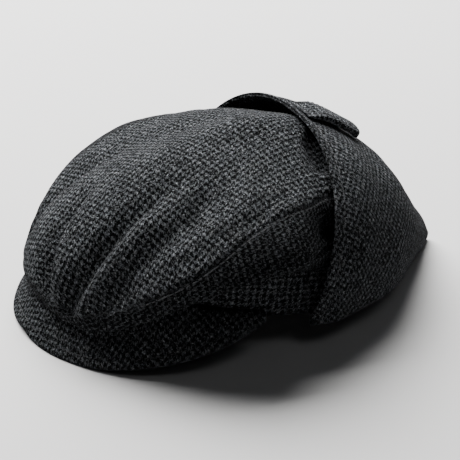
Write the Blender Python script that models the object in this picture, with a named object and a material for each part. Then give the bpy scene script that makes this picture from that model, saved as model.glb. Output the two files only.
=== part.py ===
"""Tweed cap: puffed crown, front peak, head band and a turned-up neck flap under a tab.

Units are metres and +Z is up. The peak points to -Y and the wearer's left is +X.
The pieces are drawn level, in the plane of the head opening, and then laid down as the cap
rests by itself: on the two low edges of the peak and on the back corner of the neck flap.
"""
import math
from collections import namedtuple

import bpy
from mathutils import Matrix, Vector

# Head opening and band
HEAD_WIDTH = 0.167
HEAD_LENGTH = 0.200
BAND_HEIGHT = 0.026
BAND_WALL = 0.0025
BAND_LEAN = 0.0016
SEAM_GAP = 0.0003
SHELF_GAP = 0.0009

# Crown: how far it rises above the band and hangs out past it
CROWN_WALL = 0.0025
CROWN_RISE = 0.0575
CROWN_OVERHANG = 0.028
CROWN_FAR_SLUMP = 0.68
CROWN_FAR_SPREAD = 0.014
CROWN_SAG = 0.045
POLE_BACK = 0.024
LIP_DROP = 0.008
LIP_INSET = 0.005
CROWN_SEAT_GAP = 0.0004

# Peak
PEAK_WALL = 0.0035
PEAK_REACH = 0.0315
PEAK_DROP = 0.0400
PEAK_ARCH = 0.010
PEAK_SPREAD_DEG = 78.0
PEAK_TIP_BREADTH = 0.058
PEAK_END_OUT = 0.022
PEAK_END_FORWARD = 0.050
PEAK_END_FALL = 0.022
PEAK_BOW = 0.001

# Neck flap: its front edge, its back corner and its height over the crown
FLAP_WALL = 0.003
FLAP_STANDOFF = 0.0065
FLAP_BELLY = 0.0065
FLAP_FRONT = 0.003
FLAP_BACK_REACH = 0.0335
FLAP_OVER_CROWN = 0.0070
FLAP_FOLD_RADIUS = 0.0032
FLAP_FOLD_LIFT = 0.008
FLAP_HANG = 0.006
FLAP_SEWN_UP = 0.001

# Tab and its snap
TAB_WIDTH = 0.026
TAB_WALL = 0.003
TAB_START = 0.026
TAB_END = 0.067
TAB_LIFT = 0.0030
SNAP_DIAMETER = 0.011
SNAP_FROM_TAB_END = 0.013
SNAP_GAP = 0.0006

# How deep the cloth is pressed flat where the cap rests
SETTLE = 0.001

# Ways of shaping: where a fold starts below its low end, how hoops lean, how blunt the tab ends
FOLD_RUN_IN = 0.1
LIP_SHARE = 0.3
HOOP_LEAN_POWER = 1.5
FOLD_ROOM = 0.95
TAB_BLUNTNESS = 0.04
STEEPEST_REST_DEG = 30.0
HALVINGS = 50

# Mesh fineness
SHARP_EDGE_DEG = 50.0
FRONT_CROWDING = 0.4
BAND_COLUMNS = 60
FRONT_SPREAD_DEG = 90.0
FRONT_COLUMNS = 46
BACK_COLUMNS = 32
DOME_ROWS = 13
LIP_ROWS = 3
UNDER_ROWS = 3
PEAK_COLUMNS = 32
PEAK_END_SHARE = 0.97
PEAK_ROWS = 4
RIM_STEPS = 4
HOOPS = 18
HOOP_CROWDING = 0.4
HOOP_STEPS = 24
SHELF_STEPS = 2
FOLD_STEPS = 2
TAB_STATIONS = 16
TAB_COLUMNS = 6
SNAP_SIDES = 16

# Crown outline by angle from the front. Overhang, sag and lip are shares of CROWN_OVERHANG,
# CROWN_SAG and the lip's size; fullness is the exponent of the dome's quarter section.
CrownRow = namedtuple("CrownRow", "angle overhang sag lip fullness")
CROWN_ROWS = (
    CrownRow(0, 1.05, 0.92, 0.80, 1.84),
    CrownRow(11, 1.04, 0.93, 0.85, 1.86),
    CrownRow(21, 1.03, 0.85, 0.90, 1.86),
    CrownRow(31, 1.05, 0.58, 1.00, 1.84),
    CrownRow(42, 1.08, 0.18, 1.10, 1.82),
    CrownRow(50, 1.06, -0.05, 1.10, 1.80),
    CrownRow(58, 0.98, -0.22, 1.15, 1.78),
    CrownRow(68, 0.78, -0.33, 1.20, 1.78),
    CrownRow(77, 0.30, -0.33, 1.00, 1.76),
    CrownRow(87, 0.04, -0.24, 0.60, 1.70),
    CrownRow(103, 0.01, -0.12, 0.30, 1.52),
    CrownRow(140, 0.04, -0.08, 0.15, 1.45),
    CrownRow(180, 0.03, -0.04, 0.10, 1.32),
)

# Neck flap, front edge to back corner. Out is a share of the flap's half width, back, over and
# up are shares of its length and height, and square is the exponent of the hoop.
HoopRow = namedtuple("HoopRow", "along out back over up belly lift square")
HOOP_ROWS = (
    HoopRow(0.00, 1.000, 0.000, 0.160, 1.000, 1.0, 0.0, 2.35),
    HoopRow(0.15, 0.992, 0.120, 0.305, 0.925, 1.0, 0.15, 2.50),
    HoopRow(0.30, 0.937, 0.260, 0.445, 0.815, 0.7, 0.6, 2.30),
    HoopRow(0.45, 0.846, 0.420, 0.580, 0.705, 0.4, 0.9, 2.30),
    HoopRow(0.60, 0.665, 0.575, 0.705, 0.530, 0.2, 1.0, 2.35),
    HoopRow(0.75, 0.430, 0.735, 0.820, 0.345, 0.1, 0.85, 2.20),
    HoopRow(0.90, 0.180, 0.895, 0.930, 0.200, 0.0, 0.3, 2.00),
    HoopRow(1.00, 0.000, 1.000, 1.000, 0.060, 0.0, 0.0, 2.00),
)

# Folds and dents of the crown. The line runs from the low to the high angle; low and high are
# shares of the way from the widest line up to the pole; width and depth are real sizes.
FoldRow = namedtuple("FoldRow", "name low_angle high_angle low high width depth")
FOLD_ROWS = (
    FoldRow("front pleat", 11.5, 17, -0.05, 0.62, 0.008, 0.0050),
    FoldRow("pleat ridge", 16, 22, 0.00, 0.60, 0.010, -0.0030),
    FoldRow("left fold", 5, -15, 0.00, 0.50, 0.009, 0.0035),
    FoldRow("shoulder valley", 23, 40, 0.10, 0.70, 0.015, 0.0035),
    FoldRow("shoulder ridge", 18, 56, 0.10, 0.60, 0.012, -0.0020),
    FoldRow("far pleat", -22, -32, -0.05, 0.55, 0.010, 0.0040),
    FoldRow("flap dimple", 78, 74, -0.05, 0.38, 0.009, 0.0055),
)

Placing = namedtuple("Placing", "turn drop")


def read_rows(rows, column, where):
    """Smooth value of one column of a table at a place in its first column."""
    keys = [row[0] for row in rows]
    values = [getattr(row, column) for row in rows]
    where = min(max(where, keys[0]), keys[-1])
    last = len(rows) - 2
    cell = max(i for i in range(last + 1) if keys[i] <= where)
    span = keys[cell + 1] - keys[cell]

    def slope(i):
        before = max(i - 1, 0)
        after = min(i + 1, len(rows) - 1)
        return (values[after] - values[before]) / (keys[after] - keys[before])

    t = (where - keys[cell]) / span
    return ((1 + 2 * t) * (1 - t) ** 2 * values[cell]
            + t * (1 - t) ** 2 * span * slope(cell)
            + t * t * (3 - 2 * t) * values[cell + 1]
            - t * t * (1 - t) * span * slope(cell + 1))


def band_half_sizes(height, outside):
    """Half width and half length of the band at a height, on its outer or inner face."""
    lean = BAND_LEAN * height / BAND_HEIGHT
    wall = BAND_WALL if outside else 0.0
    return HEAD_WIDTH / 2 + wall - lean, HEAD_LENGTH / 2 + wall - lean


def reach_to_band(angle, height, outside):
    """Distance from the pole's axis to the band, in a direction from the front."""
    half_x, half_y = band_half_sizes(height, outside)
    a = (math.sin(angle) / half_x) ** 2 + (math.cos(angle) / half_y) ** 2
    b = -2 * POLE_BACK * math.cos(angle) / half_y ** 2
    c = (POLE_BACK / half_y) ** 2 - 1
    return (-b + math.sqrt(b * b - 4 * a * c)) / (2 * a)


def superellipse(turn, power):
    """Across and up shares of a quarter section, turn from 0 at the side to 1 at the top."""
    theta = turn * math.pi / 2
    return (max(math.cos(theta), 0.0) ** (2 / power),
            max(math.sin(theta), 0.0) ** (2 / power))


def new_material(name, colour, roughness, metallic=0.0):
    material = bpy.data.materials.new(name)
    material.use_nodes = True
    shader = material.node_tree.nodes["Principled BSDF"]
    shader.inputs["Base Color"].default_value = (*colour, 1.0)
    shader.inputs["Roughness"].default_value = roughness
    shader.inputs["Metallic"].default_value = metallic
    return material


def new_object(name, points, faces, material, wall=0.0):
    """An object from points and faces; an open sheet is thickened inwards by its wall."""
    mesh = bpy.data.meshes.new(name)
    mesh.from_pydata([tuple(p) for p in points], [], faces)
    mesh.shade_smooth()
    mesh.set_sharp_from_angle(angle=math.radians(SHARP_EDGE_DEG))
    mesh.materials.append(material)
    thing = bpy.data.objects.new(name, mesh)
    bpy.context.scene.collection.objects.link(thing)
    if wall:
        solidify = thing.modifiers.new("wall", "SOLIDIFY")
        solidify.thickness = wall
        solidify.offset = -1.0
        solidify.use_even_offset = True
    return thing


def grid_faces(rows, columns, wrap, start=0):
    """Quads between the rows of a grid, closed round the columns where wrap is set."""
    faces = []
    for row in range(rows - 1):
        for column in range(columns if wrap else columns - 1):
            after = (column + 1) % columns
            low = start + row * columns
            high = low + columns
            faces.append((low + column, low + after, high + after, high + column))
    return faces


def make_band(place, material):
    """Closed ring with an upright section that leans in a little at its top."""
    section = ((0.0, True), (BAND_HEIGHT, True), (BAND_HEIGHT, False), (0.0, False))
    points = []
    for step in range(BAND_COLUMNS):
        angle = 2 * math.pi * step / BAND_COLUMNS
        for height, outside in section:
            half_x, half_y = band_half_sizes(height, outside)
            points.append(place(Vector((half_x * math.cos(angle),
                                        half_y * math.sin(angle), height))))
    faces = []
    sides = len(section)
    for step in range(BAND_COLUMNS):
        after = (step + 1) % BAND_COLUMNS
        for side in range(sides):
            up = (side + 1) % sides
            faces.append((step * sides + side, after * sides + side,
                          after * sides + up, step * sides + up))
    return new_object("head_band", points, faces, material)


def crown_angles():
    """Column angles from the front, closest where the front folds lie."""
    edge = math.radians(FRONT_SPREAD_DEG)
    shares = [2 * i / FRONT_COLUMNS - 1 for i in range(FRONT_COLUMNS)]
    front = [edge * share * (1 - FRONT_CROWDING * (1 - share * share)) for share in shares]
    hidden = 2 * math.pi - 2 * edge
    back = [edge + hidden * i / BACK_COLUMNS for i in range(BACK_COLUMNS)]
    return front + back


def crown_profile(angle):
    """Reach and height down one column, from below the pole to the band's inner edge."""
    turned = abs(math.degrees(math.remainder(angle, 2 * math.pi)))
    row = {key: read_rows(CROWN_ROWS, key, turned)
           for key in ("overhang", "sag", "lip", "fullness")}
    far = max(0.0, -math.sin(angle))
    row["fullness"] -= CROWN_FAR_SLUMP * far * (1 + math.cos(angle)) / 2
    top = BAND_HEIGHT + CROWN_RISE
    widest = BAND_HEIGHT - CROWN_SAG * row["sag"]
    reach = (reach_to_band(angle, BAND_HEIGHT, True) + CROWN_OVERHANG * row["overhang"]
             + CROWN_FAR_SPREAD * far * max(0.0, math.cos(angle)) ** 3)
    seat_height = BAND_HEIGHT + CROWN_SEAT_GAP
    seat_reach = reach_to_band(angle, BAND_HEIGHT, True) + CROWN_SEAT_GAP
    inset = min(LIP_INSET * row["lip"], max(reach - seat_reach, 0.0))
    profile = []
    for step in range(1, DOME_ROWS + 1):
        across, up = superellipse(1 - step / DOME_ROWS, row["fullness"])
        profile.append((reach * across, widest + (top - widest) * up, 1 - step / DOME_ROWS))
    for step in range(1, LIP_ROWS + 1):
        bend = math.pi / 2 * step / LIP_ROWS
        profile.append((reach - inset * (1 - math.cos(bend)),
                        widest - LIP_DROP * row["lip"] * math.sin(bend),
                        -LIP_SHARE * step / LIP_ROWS))
    lip_reach, lip_height = profile[-1][:2]
    for step in range(1, UNDER_ROWS + 1):
        share = step / UNDER_ROWS
        profile.append((lip_reach + (seat_reach - lip_reach) * share,
                        lip_height + (seat_height - lip_height) * share, None))
    profile.append((reach_to_band(angle, BAND_HEIGHT, False), seat_height, None))
    return profile


def fold_depth(angle, rise, reach):
    """How far the folds and dents press the crown in at a place."""
    turned = math.degrees(math.remainder(angle, 2 * math.pi))
    depth = 0.0
    for row in FOLD_ROWS:
        along = (rise - row.low) / (row.high - row.low)
        if not -FOLD_RUN_IN < along < 1.0:
            continue
        line = row.low_angle + (row.high_angle - row.low_angle) * along
        aside = math.radians(turned - line) * reach
        fade = min(1.0, (along + FOLD_RUN_IN) / (2 * FOLD_RUN_IN)) * (1 - max(along, 0.0) ** 3)
        depth += row.depth * fade * math.exp(-(aside / row.width) ** 2)
    return depth


def make_crown(place, material):
    """Thin puffed shell from the pole out, over its lip and back under to the band's top."""
    angles = crown_angles()
    profiles = [crown_profile(angle) for angle in angles]
    points = [Vector((0.0, POLE_BACK, BAND_HEIGHT + CROWN_RISE))]
    for row in range(len(profiles[0])):
        for angle, profile in zip(angles, profiles):
            reach, height, rise = profile[row]
            if rise is not None:
                pressed = fold_depth(angle, rise, reach)
                lift = max(rise, 0.0)
                reach -= pressed * math.cos(lift * math.pi / 2)
                height -= pressed * math.sin(lift * math.pi / 2)
            points.append(Vector((reach * math.sin(angle),
                                  POLE_BACK - reach * math.cos(angle), height)))
    columns = len(angles)
    faces = [(0, 1 + i, 1 + (i + 1) % columns) for i in range(columns)]
    faces += [tuple(reversed(face)) for face in grid_faces(len(profiles[0]), columns, True, 1)]
    return new_object("crown", [place(p) for p in points], faces, material, CROWN_WALL)


def peak_edges(share):
    """Seam point and outer point of the peak's lower face; share runs from -1 to 1 across."""
    half_x, half_y = band_half_sizes(0.0, True)

    def seam_point(angle):
        return Vector(((half_x + SEAM_GAP) * math.sin(angle),
                       -(half_y + SEAM_GAP) * math.cos(angle), 0.0))

    spread = math.radians(PEAK_SPREAD_DEG)
    end = seam_point(spread)
    tip = Vector((0.0, -half_y - PEAK_REACH, -PEAK_DROP))
    tip_handle = tip + Vector((PEAK_TIP_BREADTH, 0.0, -PEAK_ARCH))
    end_handle = end + Vector((PEAK_END_OUT, -PEAK_END_FORWARD, -PEAK_END_FALL))
    t = abs(share)
    outer = (tip * (1 - t) ** 3 + tip_handle * 3 * t * (1 - t) ** 2
             + end_handle * 3 * t * t * (1 - t) + end * t ** 3)
    outer.x = math.copysign(outer.x, share)
    return seam_point(spread * share), outer


def make_peak(place, material):
    """Stiff curved peak: a section for each column, with a rounded outer rim."""
    up = Vector((0.0, 0.0, PEAK_WALL))
    rings = []
    for column in range(PEAK_COLUMNS + 1):
        share = PEAK_END_SHARE * (2 * column / PEAK_COLUMNS - 1)
        seam, outer = peak_edges(share)
        slope = (outer - seam).normalized()
        angle = share * math.radians(PEAK_SPREAD_DEG)
        side = slope.cross(Vector((math.cos(angle), math.sin(angle), 0.0)))
        normal = side.normalized() * math.copysign(1.0, side.z)
        lower = []
        upper = []
        for row in range(PEAK_ROWS + 1):
            share = row / PEAK_ROWS
            bow = normal * PEAK_BOW * math.sin(math.pi * share)
            lower.append(seam.lerp(outer, share) + bow)
            upper.append(lower[-1] + (up if row == 0 else normal * PEAK_WALL))
        centre = (lower[-1] + upper[-1]) / 2
        half = (upper[-1] - lower[-1]) / 2
        rim = [centre - half * math.cos(math.pi * i / RIM_STEPS)
               + slope * half.length * math.sin(math.pi * i / RIM_STEPS)
               for i in range(1, RIM_STEPS)]
        rings.append(upper + rim[::-1] + lower[::-1])
    points = [place(p) for ring in rings for p in ring]
    sides = len(rings[0])
    faces = grid_faces(len(rings), sides, True)
    faces.append(tuple(range(sides - 1, -1, -1)))
    faces.append(tuple(range((len(rings) - 1) * sides, len(rings) * sides)))
    return new_object("peak", points, faces, material)


def flap_sizes():
    """Half width, length and height of the neck flap, and its front edge's place."""
    half_x, half_y = band_half_sizes(0.0, True)
    half_width = half_x + FLAP_STANDOFF
    length = half_y + FLAP_BACK_REACH - FLAP_FRONT
    height = FLAP_HANG + BAND_HEIGHT + CROWN_RISE + FLAP_OVER_CROWN
    return half_width, length, height


def hoop_point(along, turn):
    """Point of the flap's outer face; turn runs from the +X fold, 0, to the ridge, 1."""
    half_width, length, height = flap_sizes()
    row = {key: read_rows(HOOP_ROWS, key, along)
           for key in ("out", "back", "over", "up", "belly", "lift", "square")}
    across, up = superellipse(turn, row["square"])
    belly = FLAP_BELLY * row["belly"] * math.sin(math.pi * min(up, 1.0))
    y = FLAP_FRONT + length * (row["back"] + (row["over"] - row["back"]) * up ** HOOP_LEAN_POWER)
    foot = FLAP_FOLD_LIFT * row["lift"] + FLAP_FOLD_RADIUS
    rise = height * row["up"] - foot
    return Vector((half_width * row["out"] * across + belly, y, foot + rise * up - FLAP_HANG))


def shelf_point(along):
    """Sewn edge of the flap, against the foot of the band's outer face."""
    half_x, half_y = band_half_sizes(0.0, True)
    half_x += SHELF_GAP
    half_y += SHELF_GAP
    start = math.asin(FLAP_FRONT / half_y)
    angle = start + (math.pi / 2 - start) * along
    return Vector((half_x * math.cos(angle), half_y * math.sin(angle), FLAP_SEWN_UP))


def flap_hoop(along):
    """One hoop: sewn edge, shelf, bottom fold, up over the ridge and down again."""
    fold = hoop_point(along, 0.0)
    sewn = shelf_point(along)
    inward = Vector((sewn.x - fold.x, sewn.y - fold.y, 0.0))
    radius = min(FLAP_FOLD_RADIUS, inward.length * FOLD_ROOM)
    inward = inward.normalized()
    sole = FLAP_FOLD_LIFT * read_rows(HOOP_ROWS, "lift", along) - FLAP_HANG
    heel = Vector((fold.x, fold.y, sole)) + inward * radius
    half = [sewn.lerp(heel, step / SHELF_STEPS) for step in range(SHELF_STEPS + 1)]
    for step in range(1, FOLD_STEPS):
        bend = math.pi / 2 * step / FOLD_STEPS
        half.append(heel - inward * radius * math.sin(bend)
                    + Vector((0.0, 0.0, (fold.z - sole) * (1 - math.cos(bend)))))
    half += [hoop_point(along, step / HOOP_STEPS * 2) for step in range(HOOP_STEPS // 2 + 1)]
    far = [Vector((-p.x, p.y, p.z)) for p in half[-2::-1]]
    return half + far


def make_neck_flap(place, material):
    """Hood-like flap, folded up round the back from under the band's edge."""
    shares = [hoop / HOOPS for hoop in range(HOOPS)]
    hoops = [flap_hoop(share * (1 + HOOP_CROWDING * (1 - share))) for share in shares]
    columns = len(hoops[0])
    points = [point for hoop in hoops for point in hoop]
    faces = [tuple(reversed(face)) for face in grid_faces(HOOPS, columns, False)]
    first = len(points) - columns
    shelf = SHELF_STEPS + 1
    tip = flap_hoop(1.0)
    points += tip[:shelf]
    corner = len(points) - 1
    points.append(tip[columns // 2])
    point_of_corner = len(points) - 1
    mirror = columns - 1
    for step in range(SHELF_STEPS):
        near = len(points) - shelf - 1 + step
        faces.append((first + step + 1, first + step, near, near + 1))
        faces.append((first + mirror - step, first + mirror - step - 1, near + 1, near))
    faces.append((first + SHELF_STEPS + 1, first + SHELF_STEPS, corner, point_of_corner))
    faces.append((first + mirror - SHELF_STEPS, first + mirror - SHELF_STEPS - 1,
                  point_of_corner, corner))
    for step in range(SHELF_STEPS + 1, mirror - SHELF_STEPS - 1):
        faces.append((first + step + 1, first + step, point_of_corner))
    return new_object("neck_flap", [place(p) for p in points], faces, material, FLAP_WALL)


def ridge_frame(back):
    """Point, forward direction and upward normal on the flap's ridge at a place in Y."""
    low, high = 0.0, 1.0
    for _ in range(HALVINGS):
        middle = (low + high) / 2
        if hoop_point(middle, 1.0).y < back:
            low = middle
        else:
            high = middle
    step = 0.01
    point = hoop_point(low, 1.0)
    ahead = (hoop_point(low + step, 1.0) - point).normalized()
    normal = Vector((1.0, 0.0, 0.0)).cross(ahead)
    return Vector((0.0, point.y, point.z)), ahead, normal


def make_tab(place, material):
    """Short strap over the flap's ridge, sewn at the front, with a round end that stands off."""
    half = TAB_WIDTH / 2
    rings = []
    for station in range(TAB_STATIONS + 1):
        share = math.sin(math.pi / 2 * station / TAB_STATIONS)
        y = TAB_START + (TAB_END - TAB_START) * share
        base, _, normal = ridge_frame(y)
        base = base + normal * (SEAM_GAP + TAB_LIFT * share ** 2)
        past = max(0.0, (y - (TAB_END - half)) / half)
        width = half * math.sqrt(max(1 - past * past, TAB_BLUNTNESS))
        lower = [base + Vector((width * (2 * i / TAB_COLUMNS - 1), 0.0, 0.0))
                 for i in range(TAB_COLUMNS + 1)]
        upper = [point + normal * TAB_WALL for point in lower]
        rings.append(lower + upper[::-1])
    points = [place(p) for ring in rings for p in ring[::-1]]
    sides = len(rings[0])
    faces = grid_faces(len(rings), sides, True)
    faces.append(tuple(range(sides - 1, -1, -1)))
    faces.append(tuple(range((len(rings) - 1) * sides, len(rings) * sides)))
    return new_object("flap_tab", points, faces, material)


def make_snap(place, material):
    """Plain round snap between the flap's ridge and the free end of the tab."""
    y = TAB_END - SNAP_FROM_TAB_END
    base, ahead, normal = ridge_frame(y)
    share = (y - TAB_START) / (TAB_END - TAB_START)
    height = SEAM_GAP + TAB_LIFT * share ** 2
    points = []
    for level in (SEAM_GAP, height - SNAP_GAP):
        for side in range(SNAP_SIDES):
            angle = 2 * math.pi * side / SNAP_SIDES
            points.append(place(base + normal * level
                                + Vector((1.0, 0.0, 0.0)) * SNAP_DIAMETER / 2 * math.cos(angle)
                                + ahead * SNAP_DIAMETER / 2 * math.sin(angle)))
    faces = grid_faces(2, SNAP_SIDES, True)
    faces.append(tuple(range(SNAP_SIDES - 1, -1, -1)))
    faces.append(tuple(range(SNAP_SIDES, 2 * SNAP_SIDES)))
    return new_object("tab_snap", points, faces, material)


def resting_place():
    """Turn and height that bring the peak's low edges and the flap's corner to the floor."""
    peak = [peak_edges(i / PEAK_COLUMNS)[1] for i in range(PEAK_COLUMNS + 1)]
    corner = flap_hoop(1.0)[SHELF_STEPS]

    def height(point, pitch):
        return point.z * math.cos(pitch) - point.y * math.sin(pitch)

    low, high = 0.0, math.radians(STEEPEST_REST_DEG)
    for _ in range(HALVINGS):
        pitch = (low + high) / 2
        if min(height(p, pitch) for p in peak) < height(corner, pitch):
            low = pitch
        else:
            high = pitch
    return Placing(Matrix.Rotation(-low, 3, "X"), height(corner, low) + SETTLE)


def centre_on_origin(pieces):
    """Slides the whole cap so that the middle of its outline stands over the origin."""
    spots = [vertex.co for piece in pieces for vertex in piece.data.vertices]
    middle = Vector((
        (min(spot.x for spot in spots) + max(spot.x for spot in spots)) / 2,
        (min(spot.y for spot in spots) + max(spot.y for spot in spots)) / 2,
        0.0))
    for piece in pieces:
        piece.data.transform(Matrix.Translation(-middle))


def main():
    for thing in list(bpy.data.objects):
        bpy.data.objects.remove(thing)
    placing = resting_place()

    def place(point):
        turned = placing.turn @ point
        return Vector((turned.x, turned.y, max(turned.z - placing.drop, 0.0)))

    tweed = new_material("crown_tweed", (0.055, 0.058, 0.064), 0.92)
    peak_tweed = new_material("peak_tweed", (0.050, 0.053, 0.058), 0.92)
    band_tweed = new_material("band_tweed", (0.045, 0.047, 0.052), 0.93)
    flap_tweed = new_material("flap_tweed", (0.050, 0.052, 0.058), 0.92)
    tab_tweed = new_material("tab_tweed", (0.058, 0.060, 0.066), 0.92)
    snap_metal = new_material("snap_metal", (0.10, 0.10, 0.11), 0.45, 1.0)
    pieces = [
        make_band(place, band_tweed),
        make_crown(place, tweed),
        make_peak(place, peak_tweed),
        make_neck_flap(place, flap_tweed),
        make_tab(place, tab_tweed),
        make_snap(place, snap_metal),
    ]
    centre_on_origin(pieces)


main()
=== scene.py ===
"""Tweed cap dressed for the studio: puffed crown, front peak, band and a turned-up neck flap.

Units are metres and +Z is up. The shapes are drawn level, in the plane of the head opening, from
the same named sizes as the solids, and are then laid down as the cap rests by itself.
"""

from collections import namedtuple
from math import asin, copysign, cos, degrees, exp, hypot, pi, radians, remainder, sin, sqrt

import bpy
import numpy as np
from mathutils import Matrix, Vector, noise


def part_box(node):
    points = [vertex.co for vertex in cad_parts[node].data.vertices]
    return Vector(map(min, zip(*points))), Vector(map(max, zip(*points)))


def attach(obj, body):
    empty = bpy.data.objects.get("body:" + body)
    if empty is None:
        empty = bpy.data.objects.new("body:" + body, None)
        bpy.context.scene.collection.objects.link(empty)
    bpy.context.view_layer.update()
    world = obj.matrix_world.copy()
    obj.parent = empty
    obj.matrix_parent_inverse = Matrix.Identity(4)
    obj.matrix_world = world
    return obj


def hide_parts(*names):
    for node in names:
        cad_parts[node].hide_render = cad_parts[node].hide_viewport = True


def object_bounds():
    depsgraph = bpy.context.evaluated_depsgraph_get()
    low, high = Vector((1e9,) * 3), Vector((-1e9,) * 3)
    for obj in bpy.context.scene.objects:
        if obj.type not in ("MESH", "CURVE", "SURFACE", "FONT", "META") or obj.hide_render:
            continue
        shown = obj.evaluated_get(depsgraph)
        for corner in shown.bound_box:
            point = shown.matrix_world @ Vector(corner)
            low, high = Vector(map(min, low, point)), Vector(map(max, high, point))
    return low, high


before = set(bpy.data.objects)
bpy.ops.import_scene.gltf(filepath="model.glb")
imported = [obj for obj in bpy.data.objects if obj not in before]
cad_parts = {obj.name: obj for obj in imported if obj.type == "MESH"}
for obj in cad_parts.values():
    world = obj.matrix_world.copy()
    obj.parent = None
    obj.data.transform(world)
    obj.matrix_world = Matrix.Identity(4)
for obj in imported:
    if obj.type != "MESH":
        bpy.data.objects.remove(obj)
CAD_BOX = [[float(value) for value in corner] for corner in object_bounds()]

# Head opening and band
HEAD_WIDTH = 0.167
HEAD_LENGTH = 0.200
BAND_HEIGHT = 0.026
BAND_WALL = 0.0025
BAND_LEAN = 0.0016
SEAM_GAP = 0.0003
SHELF_GAP = 0.0009

# Crown
CROWN_RISE = 0.0575
CROWN_OVERHANG = 0.028
CROWN_FAR_SLUMP = 0.68
CROWN_FAR_SPREAD = 0.014
CROWN_SAG = 0.045
POLE_BACK = 0.024
LIP_DROP = 0.008
LIP_INSET = 0.005
CROWN_SEAT_GAP = 0.0004
SHELL_WALL = 0.0022
PUFF_RISE = 0.0050
PUFF_FORWARD = -0.002
PUFF_WIDTH = 0.029
LIP_SHARE = 0.3
FOLD_RUN_IN = 0.1
FOLD_SPREAD = 3

# The crown's panel seam, its gathers and the part of it that shows: degrees from the front, and
# shares of the way up from the widest line
SEAM_FADE_DEG = (20, 34)
SEAM_STITCHED_DEG = (30, 88)
SHOWN_RISES = (-0.5, -0.1)
GATHERS = 34
GATHER_HEIGHT = 0.0006
GATHER_RISES = (-0.1, 0.9)

# Peak
PEAK_WALL = 0.0035
PEAK_REACH = 0.0315
PEAK_DROP = 0.0400
PEAK_ARCH = 0.010
PEAK_SPREAD_DEG = 78.0
PEAK_TIP_BREADTH = 0.058
PEAK_END_OUT = 0.022
PEAK_END_FORWARD = 0.050
PEAK_END_FALL = 0.022
PEAK_BOW = 0.001
PEAK_END_SHARE = 0.97
PEAK_SEWN_SHARE = 0.3
PEAK_GROOVED_FROM = 0.012
PEAK_STITCHED_FROM = 0.014
RIM_CLOTH = 1.5

# Neck flap
FLAP_WALL = 0.003
FLAP_STANDOFF = 0.0065
FLAP_BELLY = 0.0065
FLAP_FRONT = 0.003
FLAP_BACK_REACH = 0.0335
FLAP_OVER_CROWN = 0.0070
FLAP_FOLD_RADIUS = 0.0032
FLAP_FOLD_LIFT = 0.008
FLAP_HANG = 0.006
FLAP_SEWN_UP = 0.001
HEM_GROOVE = 0.8
HEM_GROOVE_STEPS = 1.1
HOOP_LEAN_POWER = 1.5
FOLD_ROOM = 0.95
FLAP_LAST_HOOP = 0.999
FLAP_EDGE_FADE = 0.004
FLAP_BACK_FADE = 0.9

# Tab: the wall grows from a thin sewn end, and the free end is bent down again at the last
TAB_WIDTH = 0.026
TAB_WALL = 0.003
TAB_START = 0.026
TAB_END = 0.067
TAB_LIFT = 0.0030
TAB_DROOP = 0.0016
TAB_BLUNTNESS = 0.04
TAB_THIN_END = 0.4
TAB_THICKENING = 1.25
TAB_THICK_FROM = 0.3
TAB_END_FALL = 0.95
TAB_FALL_FROM = 0.86
TAB_SIDE_POWER = 0.42
TAB_FACE_POWER = 0.70
TAB_FACE_FROM = 0.3
TAB_TURN_UNDER = 0.05
TAB_STITCH_STOP = 0.0035

# Band: the rolled lower edge, the foot that stays even, and the radius that lays out its cloth
BAND_EDGE_ROLL = 0.0006
BAND_FOOT = 0.004
BAND_CLOTH_RADIUS = 0.094

# How deep the cloth is pressed flat where the cap rests, and how its pose is searched for
SETTLE = 0.001
STEEPEST_REST_DEG = 30.0
HALVINGS = 50
REST_STEPS = 32
RIDGE_STEP = 0.01

# Cloth: one yarn's width, how each piece's grain is turned, where the crown's lies straight,
# and the stitches
YARN = 0.00046
FLAP_YARN = 0.00041
CROWN_GRAIN_DEG = 16.0
SIDE_GRAIN_DEG = 25.0
FLAP_GRAIN_DEG = 22.0
PEAK_GRAIN_DEG = 22.0
STRAIGHT_GRAIN_DEG = 15.0
STITCH_LENGTH = 0.0024
STITCH_GAP = 0.0014
STITCH_RADIUS = 0.00026
STITCH_TAPER = 0.12
STITCH_PROUD = 0.35
STITCH_DIP = 1.1
STITCH_FLATNESS = 1.15
STITCH_LOOK = 0.0004
STITCH_SUNK = 0.0004
STITCH_CLOTH = 0.001
BAND_STITCH_SUNK = 0.0003
SWEATBAND_STITCH_HEIGHT = 0.005
SEAM_STITCH_DOWN = 0.0024

# Unevenness of each cloth: its height, its size and the seed of its noise. The gathers' height is
# how far they wander, as an angle.
Uneven = namedtuple("Uneven", "height size seed")
CROWN_UNEVEN = (
    Uneven(0.0011, 0.030, 3.1),
    Uneven(0.00035, 0.010, 7.7),
    Uneven(0.00012, 0.004, 1.3),
)
GATHER_UNEVEN = (Uneven(2.0, 0.020, 5.0),)
BAND_UNEVEN = (Uneven(0.0003, 0.018, 9.2),)
PEAK_UNEVEN = (Uneven(0.0003, 0.022, 4.4),)
FLAP_UNEVEN = (Uneven(0.0010, 0.034, 6.3), Uneven(0.0003, 0.011, 2.9))
TAB_UNEVEN = (Uneven(0.0003, 0.009, 8.8),)

# Lines that stitches press into the cloth: depth, way from the edge or seam, and width. The puff
# above the panel seam is the same with its depth below zero.
Press = namedtuple("Press", "depth at width")
SEAM_GROOVE = Press(0.0011, 0.0, 0.0014)
SEAM_PUFF = Press(-0.0005, 0.0045, 0.0035)
BAND_GROOVE = Press(0.0004, 0.0035, 0.0009)
PEAK_GROOVE = Press(0.00045, 0.0042, 0.0011)
HEM_LINE = Press(0.0007, 0.0045, 0.0013)
TAB_GROOVE = Press(0.0004, 0.0030, 0.0009)

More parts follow.
